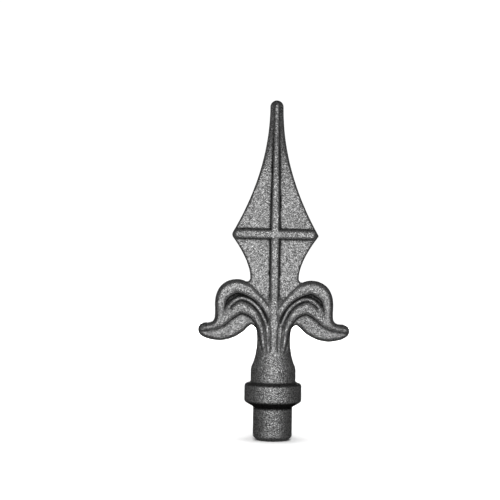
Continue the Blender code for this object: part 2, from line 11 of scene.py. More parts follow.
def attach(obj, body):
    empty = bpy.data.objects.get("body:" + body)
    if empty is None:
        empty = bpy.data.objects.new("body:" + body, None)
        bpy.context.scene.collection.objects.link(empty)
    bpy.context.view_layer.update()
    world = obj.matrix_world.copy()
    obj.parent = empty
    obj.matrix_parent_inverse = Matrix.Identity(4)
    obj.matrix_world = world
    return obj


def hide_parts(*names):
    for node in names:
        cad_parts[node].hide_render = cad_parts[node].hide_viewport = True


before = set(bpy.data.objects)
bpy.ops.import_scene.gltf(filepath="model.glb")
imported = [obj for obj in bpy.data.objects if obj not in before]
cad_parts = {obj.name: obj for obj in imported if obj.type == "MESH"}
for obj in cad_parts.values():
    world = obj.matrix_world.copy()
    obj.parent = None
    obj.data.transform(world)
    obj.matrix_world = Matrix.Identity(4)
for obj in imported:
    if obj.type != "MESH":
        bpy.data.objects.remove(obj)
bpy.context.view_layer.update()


# Sizes of the casting

foot = {
    "stubRadius": 0.0100,
    "stubLength": 0.0170,
    "stubChamfer": 0.0021,
    "chamferSlope": 0.85,
    "stubRound": 0.0012,
    "stubFillet": 0.0007,
    "collarRadius": 0.0146,
    "collarCone": 0.0027,
    "collarBand": 0.0088,
    "collarShoulder": 0.0013,
    "collarRound": 0.0016,
    "shoulderFillet": 0.0006,
    "bulgeRadius": 0.0115,
    "bulgeLength": 0.0068,
    "bulgeRound": 0.0050,
    "taperLength": 0.0114,
    "kneeShare": 0.44,
    "kneeRadius": 0.00955,
    "kneeRound": 0.0200,
    "neckRadius": 0.0085,
    "neckLength": 0.0049,
    "rootDepth": 0.0041,
    "rootFade": 0.0010,
    "stalkWidth": 0.0052,
}

# Where the stem changes, as shares of the rise from the neck's top to the waist
stemShares = {
    "flattens": (0.15, 0.95),
    "narrows": (0.0, 0.33),
    "squares": (0.0, 0.3),
    "widens": (0.5, 0.72),
    "ends": (0.9, 1.0),
}

leaf = {
    "reach": 0.0386,            # axis to the tip of a leaf
    "topShare": 0.984,          # height over the root, as a share of the reach
    "lobeThickness": 0.0084,
    "webThickness": 0.0082,
    "edgeRound": 0.0021,
    "overBladeRound": 0.0007,
    "flatSide": 3.6,            # how a roll's side curves down: 2 is round, more has a flatter top
    "roundSide": 2.0,
    "grooveDepth": 0.0008,
    "grooveWidth": 0.0006,
    "grooveStart": 0.0030,      # how soon above the root the grooves have their full depth
    "grooveEnd": 0.12,          # how soon before its end, as a share of the reach
    "grooveRim": 0.0030,
    "lowerGroove": (0.0002, 1.2),   # gap beyond the roll's foot, and share of the groove's depth
    "outerGroove": (0.0005, 1.3),
    "innerGroove": (0.0003, 1.8),
    "hollowBlend": 0.0004,
    "axisOverlap": 0.0001,
    "skirtSlope": 4.0,
    "blend": 0.0006,
}

blade = {
    "waistClearance": 0.0016,
    "notchRound": 0.0017,
    "waistWidth": 0.0249,
    "lowerFlank": 0.0211,
    "upperFlank": 0.0693,
    "lowerPower": 1.62,         # 1 is a straight flank
    "upperPower": 2.0,
    "shoulderWidth": 0.0449,
    "shoulderRoundLeft": 0.0026,
    "shoulderRoundRight": 0.0009,
    "tipRadius": 0.0034,
    "tipThickness": 0.0068,
    "tipRibHeight": 0.0009,
    "tipRibShare": 0.55,
    "tipEdgeShare": 0.9,
    "tipStart": 0.36,           # shares of the upper flank
    "spikeSpan": (0.45, 0.70),
    "tipSlope": 0.40,           # the panels fall away from the rib towards the tip
    "thickness": 0.0060,
    "edgeRound": 0.0011,
    "ribThickness": 0.0098,
    "ribWidth": 0.0045,
    "ribTopWidth": 0.0032,
    "crossRise": 0.0006,
    "crossWidth": 0.0053,
    "crossTopWidth": 0.0028,
    "crossLength": 0.0424,
    "crossFade": 0.0018,
    "crownShare": 0.632,        # the rib's foot swells into the leaves at this share of their reach
    "crownRound": 0.0066,
    "crownRise": 1.6,
    "crownTop": 0.2,
    "mouldSkew": 0.0065,        # the mould's left side sits this share of the distance higher
}

fineness = {
    "sides": 152,
    "footStep": 0.00050,
    "outlineStep": 0.00046,
    "rowStep": 0.00044,
    "leafStep": 0.00043,
    "panelStep": 0.00052,
    "gapShare": 0.62,           # closest two points may come, as a share of the step
    "profileStep": 0.0004,
    "carvedStep": 0.0006,
    "flankPoints": (24, 60),
    "domePoints": 13,
    "cornerClear": 0.8,         # clearances as shares of a round or a step
    "ringClear": 0.9,
    "rowClear": 0.25,
    "fillClear": 0.3,
    "rowJoin": 1.6,             # a row's neighbours nearer than this many steps get an edge
    "edgeAngles": (14, 30, 46, 62, 77, 90),
    "rollReaches": (0.0, 0.45, 0.8, 1.0, 1.15),
    "searchRounds": 40,
    "batch": 2000,
    "softRounds": 2,
}

# Heights that follow from the sizes
collarLow = foot["stubLength"] + foot["collarCone"]
collarTop = collarLow + foot["collarBand"]
bulgeLow = collarTop + foot["collarShoulder"]
bulgeTop = bulgeLow + foot["bulgeLength"]
neckLow = bulgeTop + foot["taperLength"]
neckTop = neckLow + foot["neckLength"]
root = neckLow - foot["rootDepth"]
waist = root + leaf["topShare"] * leaf["reach"] + blade["waistClearance"]
shoulder = waist + blade["lowerFlank"]
tipTop = shoulder + blade["upperFlank"]
tipCentre = tipTop - blade["tipRadius"]
crossRib = shoulder + blade["crossRise"]

# The leaf's edge from its arch beside the neck, round the tip and over the top, then down across the
# blade to the root, in hundredths of the reach: out from the axis, up from the root
leafEdgeKnots = (
    (22.3, 28.5), (24.4, 34.2), (29.2, 38.0), (34.2, 35.4), (39.6, 29.9), (47.0, 24.7), (57.0, 20.0),
    (72.5, 17.1), (83.0, 18.4), (92.0, 21.0), (98.4, 25.4), (100.6, 32.0), (97.8, 38.3), (92.0, 40.4),
    (86.0, 40.9), (81.8, 42.3), (79.3, 45.4), (78.4, 50.0), (78.3, 57.0), (78.6, 67.0), (76.4, 79.8),
    (70.8, 89.6), (62.5, 95.6), (50.8, 98.4), (41.0, 97.2), (34.2, 93.4), (26.0, 85.3), (18.1, 77.0),
    (12.4, 71.0), (6.6, 64.0), (2.4, 57.5), (0.2, 53.0),
)
edgeCorner = 25                 # the knot where the edge leaves the outline and crosses the blade

# Carved lines of the leaf: out, up, half-thickness at the crest, reach on the left, reach on the right;
# the vein's rows end with the half-thickness of the hollow beside it
upperRollKnots = (
    (3.2, 3.0, 22.0, 3.0, 2.6), (3.2, 20.0, 20.6, 3.2, 2.8), (3.4, 38.0, 18.8, 3.4, 2.9),
    (5.2, 50.0, 17.8, 4.4, 3.6), (9.1, 58.6, 17.4, 5.6, 4.6), (15.6, 67.6, 17.2, 7.0, 5.2),
    (26.0, 77.6, 17.2, 7.6, 5.8), (36.3, 84.4, 17.4, 8.2, 7.0), (49.2, 88.4, 17.9, 9.4, 8.0),
    (61.8, 84.4, 17.9, 9.4, 9.2), (69.8, 74.4, 17.7, 8.8, 7.8), (72.2, 61.5, 17.4, 7.6, 7.2),
    (72.4, 51.5, 17.1, 7.0, 6.0), (77.0, 41.0, 16.4, 6.0, 5.8), (85.5, 35.8, 15.4, 5.2, 5.0),
)
lowerRollKnots = (
    (11.4, 2.6, 20.4, 2.4, 3.2), (12.4, 18.0, 19.6, 4.0, 5.4), (14.2, 31.0, 19.2, 4.4, 6.2),
    (21.2, 47.0, 18.4, 6.6, 6.2), (28.6, 55.2, 18.0, 9.4, 6.4), (36.5, 59.2, 17.6, 11.6, 6.6),
    (44.4, 60.0, 17.3, 13.0, 6.6), (52.0, 56.6, 17.0, 13.4, 6.4), (60.6, 50.2, 16.8, 10.8, 6.2),
    (67.3, 43.8, 16.6, 7.2, 6.0), (75.2, 38.8, 16.2, 5.6, 5.4), (85.5, 35.8, 15.2, 5.0, 4.9),
    (94.8, 33.4, 13.4, 4.4, 4.2),
)
veinKnots = (
    (8.0, 1.0, 21.4, 1.0, 1.0, 16.0), (8.4, 13.0, 20.8, 1.4, 1.2, 16.0),
    (9.2, 26.0, 19.8, 1.9, 1.7, 15.6), (10.7, 38.8, 18.8, 2.5, 2.0, 15.2),
    (14.4, 49.2, 18.4, 2.4, 2.2, 14.8), (20.4, 59.8, 18.2, 2.6, 2.4, 13.8),
    (27.2, 66.6, 17.0, 2.6, 2.4, 11.6), (35.0, 71.4, 15.4, 2.6, 2.4, 8.8),
    (41.5, 73.3, 14.2, 2.6, 2.4, 7.6), (46.6, 73.0, 13.6, 2.6, 2.4, 7.5),
    (51.2, 71.0, 13.4, 2.6, 2.4, 7.8), (55.0, 68.0, 13.4, 2.6, 2.4, 8.4),
    (58.4, 64.2, 13.6, 2.6, 2.2, 9.2), (61.0, 60.0, 13.8, 2.6, 2.2, 10.4),
    (62.7, 55.4, 14.0, 2.4, 2.0, 12.0),
)


# Curves and distances

def leafRows(rows):
    found = np.array(rows, float) * (leaf["reach"] / 100)
    found[:, 1] += root
    return found


def smoothStep(value, low, high):
    t = np.clip((value - low) / (high - low), 0.0, 1.0)
    return t * t * (3.0 - 2.0 * t)


def smoothMax(one, other, blend=leaf["blend"]):
    near = np.clip(1.0 - np.abs(one - other) / blend, 0.0, 1.0)
    return np.maximum(one, other) + near * near * blend / 4.0


def through(knots, step):
    # a smooth curve through the knots, every column carried along
    knots = np.array(knots, float)
    gaps = np.hypot(*np.diff(knots[:, :2], axis=0).T)
    along = np.concatenate([[0.0], np.cumsum(gaps)])
    slopes = np.gradient(knots, along, axis=0)
    rows = [knots[:1]]
    for i, gap in enumerate(gaps):
        count = max(1, round(gap / step))
        t = (np.arange(count) + 1)[:, None] / count
        rows.append(
            (2 * t**3 - 3 * t**2 + 1) * knots[i]
            + (t**3 - 2 * t**2 + t) * gap * slopes[i]
            + (3 * t**2 - 2 * t**3) * knots[i + 1]
            + (t**3 - t**2) * gap * slopes[i + 1]
        )
    return np.concatenate(rows)


def rounded(corners, step):
    # the line through corners of (across, up, radius), with an arc at each inner corner
    points = [np.array(corners[0][:2], float)]
    for before, here, after in zip(corners, corners[1:], corners[2:]):
        corner = np.array(here[:2], float)
        arrive = corner - before[:2]
        leave = np.array(after[:2], float) - corner
        arrive /= np.hypot(*arrive)
        leave /= np.hypot(*leave)
        turn = math.acos(float(np.clip(arrive @ leave, -1.0, 1.0)))
        radius = here[2]
        if radius * turn < 1e-6:
            points.append(corner)
            continue
        start = corner - arrive * radius * math.tan(turn / 2)
        across = leave - arrive * math.cos(turn)
        across /= np.hypot(*across)
        count = max(2, math.ceil(radius * turn / step))
        for i in range(count + 1):
            bend = turn * i / count
            points.append(start + arrive * radius * math.sin(bend) + across * radius * (1 - math.cos(bend)))
    points.append(np.array(corners[-1][:2], float))
    return np.array(points)


def resample(line, step):
    along = np.concatenate([[0.0], np.cumsum(np.hypot(*np.diff(line[:, :2], axis=0).T))])
    places = np.linspace(0.0, along[-1], max(2, round(along[-1] / step) + 1))
    return np.column_stack([np.interp(places, along, line[:, i]) for i in range(line.shape[1])])


def nearest(points, line):
    # distance to the line, its other columns at the nearest place, and the side: +1 on its left
    start = line[:-1, :2]
    run = np.diff(line[:, :2], axis=0)
    length2 = np.maximum((run * run).sum(1), 1e-18)
    distance = np.empty(len(points))
    side = np.empty(len(points))
    columns = np.empty((len(points), line.shape[1] - 2))
    for first in range(0, len(points), fineness["batch"]):
        part = slice(first, first + fineness["batch"])
        offX = points[part, 0:1] - start[:, 0]
        offY = points[part, 1:2] - start[:, 1]
        t = np.clip((offX * run[:, 0] + offY * run[:, 1]) / length2, 0.0, 1.0)
        offX -= t * run[:, 0]
        offY -= t * run[:, 1]
        gap2 = offX * offX + offY * offY
        best = gap2.argmin(1)
        row = np.arange(len(best))
        at = t[row, best][:, None]
        distance[part] = np.sqrt(gap2[row, best])
        cross = run[best, 0] * offY[row, best] - run[best, 1] * offX[row, best]
        side[part] = np.where(cross >= 0, 1.0, -1.0)
        columns[part] = line[best, 2:] * (1 - at) + line[best + 1, 2:] * at
    return distance, columns, side


def inside(points, polygon):
    found = np.zeros(len(points), bool)
    for (x0, z0), (x1, z1) in zip(polygon, np.roll(polygon, -1, axis=0)):
        spans = (z0 > points[:, 1]) != (z1 > points[:, 1])
        if z0 != z1:
            found ^= spans & (points[:, 0] < x0 + (points[:, 1] - z0) * (x1 - x0) / (z1 - z0))
    return found


# Outlines

def stemProfile(step):
    # radius and height of the turned foot, from the stub's end to the top of the neck
    knee = bulgeTop + foot["taperLength"] * foot["kneeShare"]
    stubEnd = foot["stubRadius"] - foot["stubChamfer"]
    return rounded((
        (stubEnd, 0.0, 0.0),
        (foot["stubRadius"], foot["stubChamfer"] * foot["chamferSlope"], foot["stubRound"]),
        (foot["stubRadius"], foot["stubLength"], foot["stubFillet"]),
        (foot["collarRadius"], collarLow, foot["collarRound"]),
        (foot["collarRadius"], collarTop, foot["collarRound"]),
        (foot["bulgeRadius"], bulgeLow, foot["shoulderFillet"]),
        (foot["bulgeRadius"], bulgeTop, foot["bulgeRound"]),
        (foot["kneeRadius"], knee, foot["kneeRound"]),
        (foot["neckRadius"], neckLow, foot["kneeRound"]),
        (foot["neckRadius"], neckTop, 0.0),
    ), step)


def bladeSide(cornerRound, step):
    # half of the blade's outline, from its waist to the middle of the tip
    narrow = blade["waistWidth"] / 2
    wide = blade["shoulderWidth"] / 2
    tip = blade["tipRadius"]
    rise = blade["lowerFlank"]
    lowerCount, upperCount = fineness["flankPoints"]
    shares = np.linspace(0.0, 1.0, lowerCount)[1:-1]
    lower = [(narrow + (wide - narrow) * s ** blade["lowerPower"], waist + rise * s, 0.0) for s in shares]
    upper = [
        (tip + (wide - tip) * (1 - s) ** blade["upperPower"], shoulder + (tipCentre - shoulder) * s, 0.0)
        for s in np.linspace(0.0, 1.0, upperCount)[1:]
    ]
    dome = [
        (tip * math.cos(a), tipCentre + tip * math.sin(a), 0.0)
        for a in np.linspace(0.0, math.pi / 2, fineness["domePoints"])[1:]
    ]
    keep = cornerRound * fineness["cornerClear"]
    lower = [p for p in lower if math.hypot(p[0] - wide, p[1] - shoulder) > keep]
    upper = [p for p in upper if math.hypot(p[0] - wide, p[1] - shoulder) > keep]
    return rounded([(narrow, waist, 0.0)] + lower + [(wide, shoulder, cornerRound)] + upper + dome, step)


def leafEdge(step):
    rows = leafRows(leafEdgeKnots)
    rows[0] = (foot["neckRadius"], neckTop)
    return through(rows, step)


def notchFillet(edge, step):
    # the arc that joins the top of the leaf to the blade's waist, and the leaf's edge below it
    counted = np.column_stack([edge, np.arange(len(edge))])
    radius = blade["notchRound"]
    across = blade["waistWidth"] / 2 + radius
    half = len(edge) // 2
    low = np.interp(across, edge[::-1, 0][:half], edge[::-1, 1][:half])
    high = low + 3 * radius
    for _ in range(fineness["searchRounds"]):
        middle = (low + high) / 2
        gap, place, _ = nearest(np.array([[across, middle]]), counted)
        low, high = (middle, high) if gap[0] < radius else (low, middle)
    touch = place[0, 0]
    x, z = (np.interp(touch, counted[:, 2], edge[:, i]) for i in (0, 1))
    turn = np.arange(math.atan2(z - middle, x - across), -math.pi, -step / radius)
    arc = np.column_stack([across + radius * np.cos(turn), middle + radius * np.sin(turn)])
    return edge[:math.ceil(touch)], np.vstack([arc, [[across - radius, middle]]])


def halfOutline(cornerRound, step):
    # right half of the casting above the root, seen from the front, up to the middle of the tip
    stem = stemProfile(step / 4)
    rootRadius = np.interp(root, stem[:, 1], stem[:, 0])
    stem = stem[stem[:, 1] > root + step / 8]
    edge, notch = notchFillet(leafEdge(step / 4), step / 4)
    below = np.vstack([[rootRadius, root], stem, edge[1:], notch[:1]])
    above = np.vstack([notch, bladeSide(cornerRound, step / 4)])
    return np.vstack([resample(below, step), resample(above, step)[1:]])


# Relief: how far the front stands before the mould's parting plane, y = 0

stemTable = stemProfile(fineness["profileStep"])


def stemRadius(height):
    return np.interp(height, stemTable[:, 1], stemTable[:, 0])


def ribTaper(height):
    return 1.0 + (blade["tipRibShare"] - 1.0) * smoothStep(height, shoulder, tipCentre)


def toTip(height):
    # 0 over the flat panels, 1 where the blade has become a round spike
    return smoothStep(height, shoulder + blade["tipStart"] * blade["upperFlank"], tipCentre)


def bladeEdge(height):
    tipRound = blade["tipRadius"] * blade["tipEdgeShare"]
    return blade["edgeRound"] + (tipRound - blade["edgeRound"]) * toTip(height)


def rollHeight(points, line, floors, powers):
    # floors and powers are for the line's left side, then its right
    distance, columns, side = nearest(points, line)
    crest, left, right = columns.T[:3]
    floor = np.where(side > 0, *floors)
    power = np.where(side > 0, *powers)
    reach = np.where(side > 0, left, right)
    t = distance / reach
    curve = floor + (crest - floor) * np.clip(1.0 - t**power, 0.0, 1.0) ** (1.0 / power)
    return curve - leaf["skirtSlope"] * np.maximum(distance - reach, 0.0)


def grooveDepth(points, line, side, gap, depth):
    # a round groove a gap beyond the roll's foot, on one side of the line
    distance, columns, onSide = nearest(points, line)
    reach = columns[:, 1] if side > 0 else columns[:, 2]
    away = np.where(onSide == side, distance, -distance) - reach - gap
    start = smoothStep(points[:, 1], root, root + leaf["grooveStart"])
    fade = smoothStep(np.hypot(*(points - line[-1, :2]).T), 0.0, leaf["grooveEnd"] * leaf["reach"])
    return depth * start * fade * np.exp(-((away / leaf["grooveWidth"]) ** 2))


def rimShare(distance, width):
    t = np.clip(1.0 - distance / width, 0.0, 1.0)
    return np.sqrt(1.0 - t * t)


class Relief:
    def __init__(self, outline):
        step = fineness["carvedStep"]
        self.outline = np.vstack([outline, outline[:1]])
        self.rolls = [through(leafRows(rows), step) for rows in (upperRollKnots, lowerRollKnots)]
        self.vein = through(leafRows(veinKnots), step)
        edge = leafEdge(step)
        corner = leafRows(leafEdgeKnots)[edgeCorner]
        self.overBlade = edge[int(np.hypot(*(edge - corner).T).argmin()):]
        past = -leaf["axisOverlap"]
        hidden = ((past, edge[-1, 1]), (past, root), (foot["neckRadius"] * 1.2, root))
        self.leafArea = np.vstack([edge, hidden])

    def stem(self, points):
        # the round neck, which flattens as it runs up between the leaves into the upright rib
        height = points[:, 1]
        radius = stemRadius(height)
        rise = (height - neckTop) / (waist - neckTop)
        deep = blade["ribThickness"] / 2 - leaf["blend"]
        stalk, rib = foot["stalkWidth"] / 2, blade["ribTopWidth"] / 2 + leaf["blend"] / 2
        depth = radius + (deep - radius) * smoothStep(rise, *stemShares["flattens"])
        width = radius + (stalk - radius) * smoothStep(rise, *stemShares["narrows"])
        width += (rib - stalk) * smoothStep(rise, *stemShares["widens"])
        power = 2.0 + 2.0 * smoothStep(rise, *stemShares["squares"])
        across = np.clip(np.abs(points[:, 0]) / width, 0.0, 1.0)
        body = depth * (1.0 - across**power) ** (1.0 / power)
        return body * (1.0 - smoothStep(rise, *stemShares["ends"]))

    def bladeBody(self, points, distance):
        x, z = np.abs(points[:, 0]), points[:, 1]
        low, top = blade["ribWidth"] / 2, blade["ribTopWidth"] / 2
        half = blade["crossLength"] / 2
        upright = 1.0 - smoothStep(x / ribTaper(z), top, low)
        cross = np.abs(z - crossRib)
        cross = 1.0 - smoothStep(cross, blade["crossTopWidth"] / 2, blade["crossWidth"] / 2)
        cross *= 1.0 - smoothStep(x, half - blade["crossFade"], half + blade["crossFade"] / 2)
        crown = np.hypot(x, z - root - blade["crownShare"] * leaf["reach"]) / blade["crownRound"]
        crown = blade["crownRise"] * (1.0 - smoothStep(crown, blade["crownTop"], 1.0))
        panel = blade["thickness"] / 2
        rib = blade["ribThickness"] / 2 - panel
        rib += (blade["tipRibHeight"] - rib) * toTip(z)
        panel += (blade["tipThickness"] / 2 - blade["tipRibHeight"] - panel) * toTip(z)
        spike = smoothStep((z - shoulder) / blade["upperFlank"], *blade["spikeSpan"])
        panel -= blade["tipSlope"] * spike * np.maximum(x - top * ribTaper(z), 0.0)
        raised = np.maximum(np.maximum(upright, cross), crown)
        return (panel + rib * raised) * rimShare(distance, bladeEdge(z))

    def leaves(self, points, distance):
        points = np.column_stack([np.abs(points[:, 0]), points[:, 1]])
        upper, lower = self.rolls
        lobe = leaf["lobeThickness"] / 2
        hollow = nearest(points, self.vein)[1][:, 3]
        web = np.maximum(leaf["webThickness"] / 2, hollow)
        away, _, side = nearest(points, lower)
        blend = leaf["hollowBlend"]
        level = lobe + (hollow - lobe) * smoothStep(away * side, -blend, blend)
        flat = leaf["flatSide"]
        level = smoothMax(level, rollHeight(points, upper, (hollow, hollow), (flat, flat)))
        level = smoothMax(level, rollHeight(points, lower, (web, lobe), (leaf["roundSide"], flat)))
        level = smoothMax(level, rollHeight(points, self.vein, (hollow, web), (flat, flat)))
        level *= rimShare(distance, leaf["edgeRound"])
        level *= rimShare(nearest(points, self.overBlade)[0], leaf["overBladeRound"])
        level *= smoothStep(points[:, 1], root, neckLow)
        return np.where(inside(points, self.leafArea), level, 0.0)

    def grooves(self, points):
        points = np.column_stack([np.abs(points[:, 0]), points[:, 1]])
        found = 0.0
        for line, side, kind in (
            (self.rolls[1], -1.0, "lowerGroove"),
            (self.vein, 1.0, "outerGroove"),
            (self.vein, -1.0, "innerGroove"),
        ):
            gap, share = leaf[kind]
            found = found + grooveDepth(points, line, side, gap, leaf["grooveDepth"] * share)
        return found

    def halfThickness(self, points):
        distance = nearest(points, self.outline)[0]
        low = points[:, 1] < waist + blade["notchRound"]
        found = self.bladeBody(points, distance)
        found[low] = smoothMax(found[low], self.leaves(points[low], distance[low]))
        found[low] = smoothMax(found[low], self.stem(points[low]))
        found[low] -= self.grooves(points[low]) * rimShare(distance[low], leaf["grooveRim"])
        stem = self.stem(points)
        return stem + (found - stem) * smoothStep(points[:, 1], root, root + foot["rootFade"])


# Mesh of the casting

class Scatter:
    # points kept a gap apart on the relief's surface, so steep flanks get their share
    def __init__(self, relief):
        self.relief = relief
        self.cells = {}
        self.points = []
        self.edges = []

    def add(self, points, step, joined=False, always=False):
        height = self.relief.halfThickness(points)
        gap = step * fineness["gapShare"]
        last = None
        for x, y, z in zip(points[:, 0].tolist(), height.tolist(), points[:, 1].tolist()):
            if not always and self.crowded(x, y, z, gap):
                last = None
                continue
            self.cells.setdefault(self.cell(x, y, z), []).append((x, y, z))
            if joined and last is not None:
                if math.dist(self.points[last], (x, z)) < fineness["rowJoin"] * step:
                    self.edges.append((last, len(self.points)))
            last = len(self.points)
            self.points.append((x, z))

    def cell(self, x, y, z):
        size = fineness["leafStep"]
        return int(x // size), int(y // size), int(z // size)

    def crowded(self, x, y, z, gap):
        reach = math.ceil(gap / fineness["leafStep"])
        i, j, k = self.cell(x, y, z)
        gap2 = gap * gap
        for di in range(-reach, reach + 1):
            for dj in range(-reach, reach + 1):
                for dk in range(-reach, reach + 1):
                    for ox, oy, oz in self.cells.get((i + di, j + dj, k + dk), ()):
                        if (ox - x) ** 2 + (oy - y) ** 2 + (oz - z) ** 2 < gap2:
                            return True
        return False


def insetRings(outline, relief):
    # rings inside the rounded edge, which follow the outline
    before, after = np.roll(outline, 1, axis=0), np.roll(outline, -1, axis=0)
    along = after - before
    inward = np.column_stack([-along[:, 1], along[:, 0]]) / np.hypot(*along.T)[:, None]
    z = outline[:, 1]
    width = np.where(z < neckTop, stemRadius(z), leaf["edgeRound"])
    width = np.where(z > waist, bladeEdge(z), width)
    for angle in fineness["edgeAngles"]:
        depth = width * (1 - math.cos(math.radians(angle)))
        ring = outline + inward * depth[:, None]
        clear = nearest(ring, relief.outline)[0] > depth * fineness["ringClear"]
        yield ring[clear & inside(ring, outline)]


def carvedRows(relief):
    # rows along the ribs' edges, and along the crests, sides and feet of the rolls
    step = fineness["rowStep"]
    low, top = blade["ribWidth"] / 2, blade["ribTopWidth"] / 2
    heights = np.arange(neckTop, tipTop, step)
    for half in (top, low):
        for side in (-1, 1):
            yield np.column_stack([side * half * ribTaper(heights), heights])
    across = np.arange(low, blade["crossLength"] / 2 + step, step)
    for width in (blade["crossTopWidth"], blade["crossWidth"]):
        for row in (-width / 2, width / 2):
            for side in (-1, 1):
                yield np.column_stack([side * across, np.full(len(across), crossRib + row)])
    for line in (relief.vein, *relief.rolls):
        line = resample(line, step)
        along = np.gradient(line[:, :2], axis=0)
        left = np.column_stack([-along[:, 1], along[:, 0]]) / np.hypot(*along.T)[:, None]
        for reach in fineness["rollReaches"]:
            for sign, column in ((1, 3), (-1, 4)):
                side = line[:, :2] + sign * left * line[:, column:column + 1] * reach
                yield side
                yield side * (-1, 1)


def hexGrid(low, high, step):
    for i, z in enumerate(np.arange(low[1], high[1], step * math.sqrt(0.75))):
        xs = np.arange(low[0], high[0], step) + (i % 2) * step / 2
        yield np.column_stack([xs, np.full(len(xs), z)])


def scatterPoints(outline, relief):
    scatter = Scatter(relief)
    scatter.add(outline, fineness["outlineStep"], always=True)
    for ring in insetRings(outline, relief):
        scatter.add(ring, fineness["outlineStep"])
    for row in carvedRows(relief):
        clear = nearest(row, relief.outline)[0] > fineness["outlineStep"] * fineness["rowClear"]
        scatter.add(row[clear & inside(row, outline)], fineness["rowStep"], joined=True)
    low, high = outline.min(0), outline.max(0)
    below, above = (low[1], waist, fineness["leafStep"]), (waist, high[1], fineness["panelStep"])
    for bottom, top, step in (below, above):
        grid = np.vstack(list(hexGrid((low[0], bottom), (high[0], top), step)))
        grid = grid[inside(grid, outline)]
        scatter.add(grid[nearest(grid, relief.outline)[0] > step * fineness["fillClear"]], step)
    return scatter


def softened(height, triangles, held, rounds):
    # each height moves halfway to the mean of its neighbours, as sharp corners of a mould wear round
    triangles = np.array(triangles)
    ends = np.vstack([triangles[:, (0, 1)], triangles[:, (1, 2)], triangles[:, (2, 0)]])
    count = np.bincount(ends.ravel(), minlength=len(height))
    for _ in range(rounds):
        total = np.bincount(ends[:, 0], height[ends[:, 1]], len(height))
        total += np.bincount(ends[:, 1], height[ends[:, 0]], len(height))
        height = np.where(held, height, height * 0.5 + total / count * 0.5)
    return height


# Sizes of the painted shade in grooves, hollows and the foot's cone and crease, and of the crests painted
# lighter
paintedShadingSizes = {
    "grooveRounds": 4,
    "grooveDepth": 0.00018,
    "hollowRounds": 20,
    "hollowStart": 0.0004,
    "hollowDepth": 0.0005,
    "crestStart": 0.00010,
    "crestHeight": 0.00018,
    "crestRim": (0.0016, 0.0030),       # a crest counts from this far inside the outline
    "bladeEdgeShare": 0.25,             # the leaf's low edge across the blade gets less painted shade
    "bladeEdgeReach": (0.0006, 0.0022),
    "stalkShare": 0.60,                 # and so do the shallow grooves between the leaves' stalks
    "stalkRise": (0.0, 0.0120),
    "coneShare": 0.35,
    "coneReach": (0.0013, 0.0026),
    "creaseShare": 0.6,
    "creaseReach": (0.0004, 0.0015),
    "creaseDark": 0.9,
}


def paintedShadingOf(height, triangles, held, inset, fromBladeEdge, rise):
    # painted shade: how far a point lies in a groove, by its depth under the mean of what is round it,
    # which darkens the colour there. On a crest it is negative, and the crest is painted lighter.
    near = softened(height, triangles, held, paintedShadingSizes["grooveRounds"]) - height
    around = softened(height, triangles, held, paintedShadingSizes["hollowRounds"]) - height
    groove = np.clip(near / paintedShadingSizes["grooveDepth"], 0.0, 1.0)
    hollow = np.clip((around - paintedShadingSizes["hollowStart"]) / paintedShadingSizes["hollowDepth"], 0.0, 1.0)
    crest = np.clip((-near - paintedShadingSizes["crestStart"]) / paintedShadingSizes["crestHeight"], 0.0, 1.0)
    share = paintedShadingSizes["bladeEdgeShare"]
    share += (1.0 - share) * smoothStep(fromBladeEdge, *paintedShadingSizes["bladeEdgeReach"])
    stalk = 1.0 - smoothStep(rise, *paintedShadingSizes["stalkRise"])
    share *= 1.0 - stalk * (1.0 - paintedShadingSizes["stalkShare"])
    return np.maximum(groove, hollow) * share - crest * smoothStep(inset, *paintedShadingSizes["crestRim"])


def ringPaintedShade(z):
    # painted shade for the turned foot, where shade falls: the cone under the collar, and the crease on its
    # shoulder
    cone = abs(z - foot["stubLength"] - foot["collarCone"] * paintedShadingSizes["coneShare"])
    crease = abs(z - bulgeLow + foot["collarShoulder"] * paintedShadingSizes["creaseShare"])
    cone = 1.0 - smoothStep(cone, *paintedShadingSizes["coneReach"])
    return max(cone, paintedShadingSizes["creaseDark"] * (1.0 - smoothStep(crease, *paintedShadingSizes["creaseReach"])))


